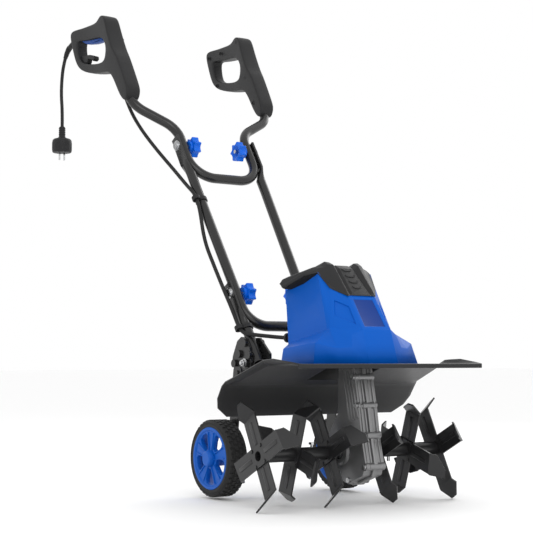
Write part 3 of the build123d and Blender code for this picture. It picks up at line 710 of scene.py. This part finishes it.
grip = {
    "centre": 147.34, "toe": 0.04, "edge": 3.4,
    # places to the rear and up, with half the thickness there
    "points": {
        "a": (766, 885, 16), "b": (753, 894, 16), "c": (717, 891, 14), "d": (682, 891, 14), "e": (643, 889, 16),
        "f": (629, 904, 17.5), "g": (607, 898, 18.5), "h": (597, 872, 19.5), "i": (583, 843, 20), "j": (567, 815, 20),
        "k": (556, 805, 18), "l": (538, 775, 18), "m": (516, 738, 17.5), "n": (508, 722, 17), "o": (515, 700, 15),
        "p": (531, 702, 15), "q": (543, 716, 16.5), "r": (553, 730, 17), "s": (580, 771, 17.5), "t": (606, 775, 17),
        "u": (650, 779, 12.5), "v": (708, 792, 12), "w": (739, 811, 12.5), "x": (753, 848, 14),
        "A": (735, 866, 14), "C": (712, 863, 14), "D": (687, 859, 14), "E": (655, 857, 15), "F": (624, 854, 17),
        "H": (608, 843, 18), "I": (600, 827, 18), "J": (603, 808, 18), "T": (612, 797.5, 17),
        "U": (656, 801, 13), "V": (708, 812, 12), "W": (723, 822, 12), "X": (731, 845, 13),
    },
    "faces": ["abCA", "bcC", "cdDC", "deED", "efFE", "fgF", "ghHF", "hiIH", "ijJI", "jkTJ", "klsT", "stT", "lmrs",
              "mnqr", "nopq", "tuUT", "uvVU", "vwWV", "wxXW", "xaAX"],
    "screws": {-1: [(617, 888), (745, 874), (712, 804), (627, 789), (578, 800), (543, 736)],
               1: [(617, 888), (690, 876), (745, 874), (712, 804), (627, 789), (578, 800), (543, 736)]},
}


def gripMatrix(hand):
    # local X to the rear, local Y up, local Z across to +X
    rear = Vector((hand * grip["toe"], 1, 0)).normalized()
    outward = Vector((1, -hand * grip["toe"], 0)).normalized()
    turn = Matrix((rear, Vector((0, 0, 1)), outward)).transposed().to_4x4()
    return Matrix.Translation(spot(hand * grip["centre"], 0, 0)) @ turn


def gripShape(hand):
    bm = bmesh.new()
    corner = {name: bm.verts.new((y / 1000, z / 1000, half / 1000)) for name, (y, z, half) in grip["points"].items()}
    front = [bm.faces.new([corner[name] for name in names]) for names in grip["faces"]]
    pushed = bmesh.ops.extrude_face_region(bm, geom=front)["geom"]
    for vert in (part for part in pushed if isinstance(part, bmesh.types.BMVert)):
        vert.co.z = -vert.co.z
    bmesh.ops.recalc_face_normals(bm, faces=bm.faces)
    rims = [edge for edge in sharpEdges(bm, 50) if abs(edge.verts[0].co.z + edge.verts[1].co.z) > 0.01]
    bmesh.ops.bevel(bm, geom=rims, offset=grip["edge"] / 1000, segments=2, profile=0.5, affect="EDGES",
                    material=-1, clamp_overlap=True)
    bmesh.ops.transform(bm, verts=bm.verts, matrix=gripMatrix(hand))
    return bm


def softened(piece, levels):
    rounder = piece.modifiers.new("rounder", "SUBSURF")
    rounder.levels = levels
    rounder.render_levels = levels


for kind, hand in (("switch_handle", -1), ("plain_handle", 1)):
    piece = addPiece(kind.split("_")[0] + "Grip", gripShape(hand), "black_plastic", "upper_handle",
                     (kind + "_outer", kind + "_inner"), smoothAngle=180)
    softened(piece, 2)
    cups = bmesh.new()
    for y, z in grip["screws"][hand]:
        cup = lathe([(0.0, 0.0046), (0.0008, 0.0044), (0.001, 0.0036), (-0.001, 0.0034), (-0.0012, 0.0016),
                     (-0.0026, 0.0012), (-0.0026, 0.0)], (0, 0, 0), (0, 0, 1), 20)
        half = 0.0172 if z > 810 or y < 620 else 0.0135
        bmesh.ops.transform(cup, verts=cup.verts, matrix=gripMatrix(hand)
                            @ Matrix.Translation((y / 1000, z / 1000, -hand * half))
                            @ Matrix.Rotation(math.pi if hand > 0 else 0, 4, "X"))
        joinInto(cups, cup)
    addPiece(kind.split("_")[0] + "GripScrews", cups, "black_plastic", "upper_handle", ("handle_screws",))

lever = {"outline": [(727, 866), (727, 877), (716, 879), (640, 871), (633, 862), (634, 850.5), (650, 848.5),
                     (670, 849.5), (704, 855)], "depth": 14, "edge": 2.4}
leverShape = flatShape([softCorners([(y / 1000, z / 1000) for y, z in lever["outline"]], 0.004)],
                       lever["depth"] / 1000, lever["edge"] / 1000, 3)
bmesh.ops.transform(leverShape, verts=leverShape.verts, matrix=gripMatrix(-1))
addPiece("switchLever", leverShape, "lever_blue", "lever", ("switch_lever",))

hook = {"outline": [(735, 836), (722, 833), (690, 829), (668, 822), (667, 815), (674, 812), (680, 816), (696, 820),
                    (700, 812), (712, 812), (730, 818)], "depth": 13, "edge": 2.5}
hookShape = flatShape([softCorners([(y / 1000, z / 1000) for y, z in hook["outline"]], 0.003)],
                      hook["depth"] / 1000, hook["edge"] / 1000, 3)
bmesh.ops.transform(hookShape, verts=hookShape.verts, matrix=gripMatrix(-1))
addPiece("cordHook", hookShape, "black_plastic", "upper_handle")
print("grips done")


# tine ribs

tines = {"places": (55.5, 126.8, 198), "turns": (27, 72, 27), "start": 21, "end": 63, "width": 8.5, "proud": 1.1,
         "blade": 3}
ribShape = bmesh.new()
for place, turn in zip(tines["places"], tines["turns"]):
    for hand in (-1, 1):
        for lift, lean in ((1.5, 0), (1.5, 180), (-1.5, 90), (-1.5, 270)):
            length, width = (tines["end"] - tines["start"]) / 1000, tines["width"] / 1000
            outline = [(0, -width / 2), (length, -width / 2), (length, width / 2), (0, width / 2)]
            rib = flatShape([softCorners(outline, width * 0.45)], (tines["blade"] + 2 * tines["proud"]) / 1000,
                            tines["proud"] / 1000, 2)
            along = math.radians(turn + lean)
            outward = Vector((0, -math.cos(along), math.sin(along)))
            arm = Matrix((outward, Vector((0, math.sin(along), math.cos(along))),
                          Vector((1, 0, 0)))).transposed().to_4x4()
            starPlace = Matrix.Translation(spot(hand * (place + lift), 0, 0))
            bmesh.ops.transform(rib, verts=rib.verts,
                                matrix=starPlace @ arm @ Matrix.Translation((tines["start"] / 1000, 0, 0)))
            joinInto(ribShape, rib)
bmesh.ops.recalc_face_normals(ribShape, faces=ribShape.faces)
addPiece("tineRibs", ribShape, "tine_paint", "tine_rotor")
print("tines done")


# gearbox ribs

gearcase = {"half": 21, "sideRibs": [(-26, 62, 147), (-19, 60, 147), (-11, 58, 147), (-3, 56, 147)],
            "frontRibs": (-15, -7.5, 7.5, 15),
            "screws": ((-37, 134), (-48.5, 84), (-59.5, 32), (-68, -22), (-20, -51)),
            "frontLine": [(-35, 149), (-48, 85), (-59, 20), (-67, -16)],
            "flange": [(-35, 150), (-38, 150), (-52.5, 85), (-63.5, 20), (-72.5, -18), (-64, -41), (-25, -55.5),
                       (13, -55.5), (43, -33), (40, -30), (12, -51), (-24, -51), (-60, -38), (-68, -18), (-59, 20),
                       (-48, 85)]}


def bar(start, end, width, proud):
    # a rounded rib between two places, in metres
    start, end = Vector(start), Vector(end)
    bm = bmesh.new()
    bmesh.ops.create_cube(bm, size=1, matrix=Matrix.Diagonal((width, proud, (end - start).length, 1)))
    bmesh.ops.bevel(bm, geom=bm.edges[:], offset=min(width, proud) * 0.35, segments=2, profile=0.5,
                    affect="EDGES", material=-1)
    turn = (end - start).to_track_quat("Z", "Y").to_matrix().to_4x4()
    bmesh.ops.transform(bm, verts=bm.verts, matrix=Matrix.Translation((start + end) / 2) @ turn)
    return bm


caseShape = bmesh.new()
for hand in (-1, 1):
    for y, low, high in gearcase["sideRibs"]:
        face = hand * gearcase["half"]
        joinInto(caseShape, bar(spot(face, y - 12 + (148 - low) * -0.12, low), spot(face, y, high), 0.0036, 0.0044))
for x in gearcase["frontRibs"]:
    for (y, z), (nextY, nextZ) in zip(gearcase["frontLine"], gearcase["frontLine"][1:]):
        joinInto(caseShape, bar(spot(x, y, z), spot(x, nextY, nextZ), 0.0042, 0.0046))
flange = flatShape([softCorners([(y / 1000, z / 1000) for y, z in gearcase["flange"]], 0.0015)], 0.008, 0.001, 1)
bmesh.ops.transform(flange, verts=flange.verts, matrix=sidePlane(0))
joinInto(caseShape, flange)
for y, z in gearcase["screws"]:
    joinInto(caseShape, lathe([(-0.013, 0.0), (-0.013, 0.0052), (-0.012, 0.0062), (0.012, 0.0062), (0.013, 0.0052),
                               (0.013, 0.0)], spot(0, y, z), (1, 0, 0), 24))
    joinInto(caseShape, lathe([(-0.013, 0.0), (-0.016, 0.0), (-0.0164, 0.0036), (-0.013, 0.0042)],
                              spot(0, y, z), (1, 0, 0), 6))
for hand in (-1, 1):
    joinInto(caseShape, lathe([(0.0205, 0.0235), (0.024, 0.0225), (0.0278, 0.0215), (0.0284, 0.0205),
                               (0.0284, 0.0165)], spot(0, 0, 0), (hand, 0, 0), 48))
bmesh.ops.recalc_face_normals(caseShape, faces=caseShape.faces)
addPiece("gearcaseRibs", caseShape, "cast_case", "chassis")
print("gearcase done")


# shield

shield = {
    # rows from the front lip to the rear foot: place to the rear, height, half the width and the rim's share
    "rows": [(-124, 150, 203, 0), (-123, 156.5, 204, 0.05), (-100, 156, 207, 0.45), (-60, 155.5, 211.5, 1),
             (-34, 155.5, 208, 0.9), (-23, 155.5, 206, 0.8), (50, 129, 216, 0.6), (75, 120.5, 220, 0.5),
             (83, 114, 222, 0.35), (98, 92, 221.5, 0.35), (109, 76, 214, 0.3), (117.5, 63.5, 190, 0)],
    "across": (0, 61, 120, 160), "rim": ((-11, 0), (-4, 4.5), (0, 10)),
    "wall": 2.8, "round": 2.5, "trim": 0.7,
}
shieldShape = bmesh.new()
shieldGrid = []
for y, z, half, share in shield["rows"]:
    row = [(x, z) for x in shield["across"]] + [(half + inset, z + lift * share) for inset, lift in shield["rim"]]
    shieldGrid.append([shieldShape.verts.new(spot(x, y, height)) for x, height in row])
for low, high in zip(shieldGrid, shieldGrid[1:]):
    for left in range(len(low) - 1):
        overCase = left == 0 and low[0].co.y > spot(0, -35, 0).y and high[0].co.y < spot(0, 51, 0).y
        if not overCase:
            shieldShape.faces.new((low[left], low[left + 1], high[left + 1], high[left]))
frontEdge, rearEdge = shieldGrid[4][1], shieldGrid[6][1]  # the well over the gearbox
wellTop = [shieldShape.verts.new(spot(*place)) for place in ((61, -34, 156.5), (61, 50, 156.5), (0, 50, 156.5))]
shieldShape.faces.new((frontEdge, shieldGrid[5][1], rearEdge, wellTop[1], wellTop[0]))
shieldShape.faces.new((rearEdge, shieldGrid[6][0], wellTop[2], wellTop[1]))
mirrorSides(shieldShape)
tidyMesh(shieldShape)
roundEdges(shieldShape, shield["round"] / 1000, 3, 20)
bmesh.ops.recalc_face_normals(shieldShape, faces=shieldShape.faces)
shieldPiece = addPiece("shieldPan", shieldShape, "shield_black", "chassis", ("shield",),
                       smoothAngle=40)
wall = shieldPiece.modifiers.new("wall", "SOLIDIFY")
wall.thickness = shield["wall"] / 1000
wall.offset = 0
trim = shieldPiece.modifiers.new("trim", "BEVEL")
trim.width = shield["trim"] / 1000
trim.segments = 2
trim.limit_method = "ANGLE"
print("shield done")


# bright nuts on the handle brackets

nut = {
    "place": (103.6, 189.5, 158.5),
    # washer, six-sided nut and bolt end: steps round, then along the bolt and radius, in metres
    "parts": [(32, [(0, 0.0), (0, 0.0082), (0.0012, 0.0085), (0.0014, 0.0)]),
              (6, [(0.0012, 0.0), (0.0012, 0.0066), (0.0058, 0.0068), (0.0064, 0.006), (0.0064, 0.0)]),
              (24, [(0.006, 0.0), (0.006, 0.0037), (0.0092, 0.0037), (0.0098, 0.003), (0.0098, 0.0)])],
}
nutShape = bmesh.new()
for hand in (-1, 1):
    x, y, z = nut["place"]
    for steps, profile in nut["parts"]:
        joinInto(nutShape, lathe(profile, spot(hand * x, y, z), (hand, 0, 0), steps))
addPiece("bracketNuts", nutShape, "zinc", "chassis", smoothAngle=25)
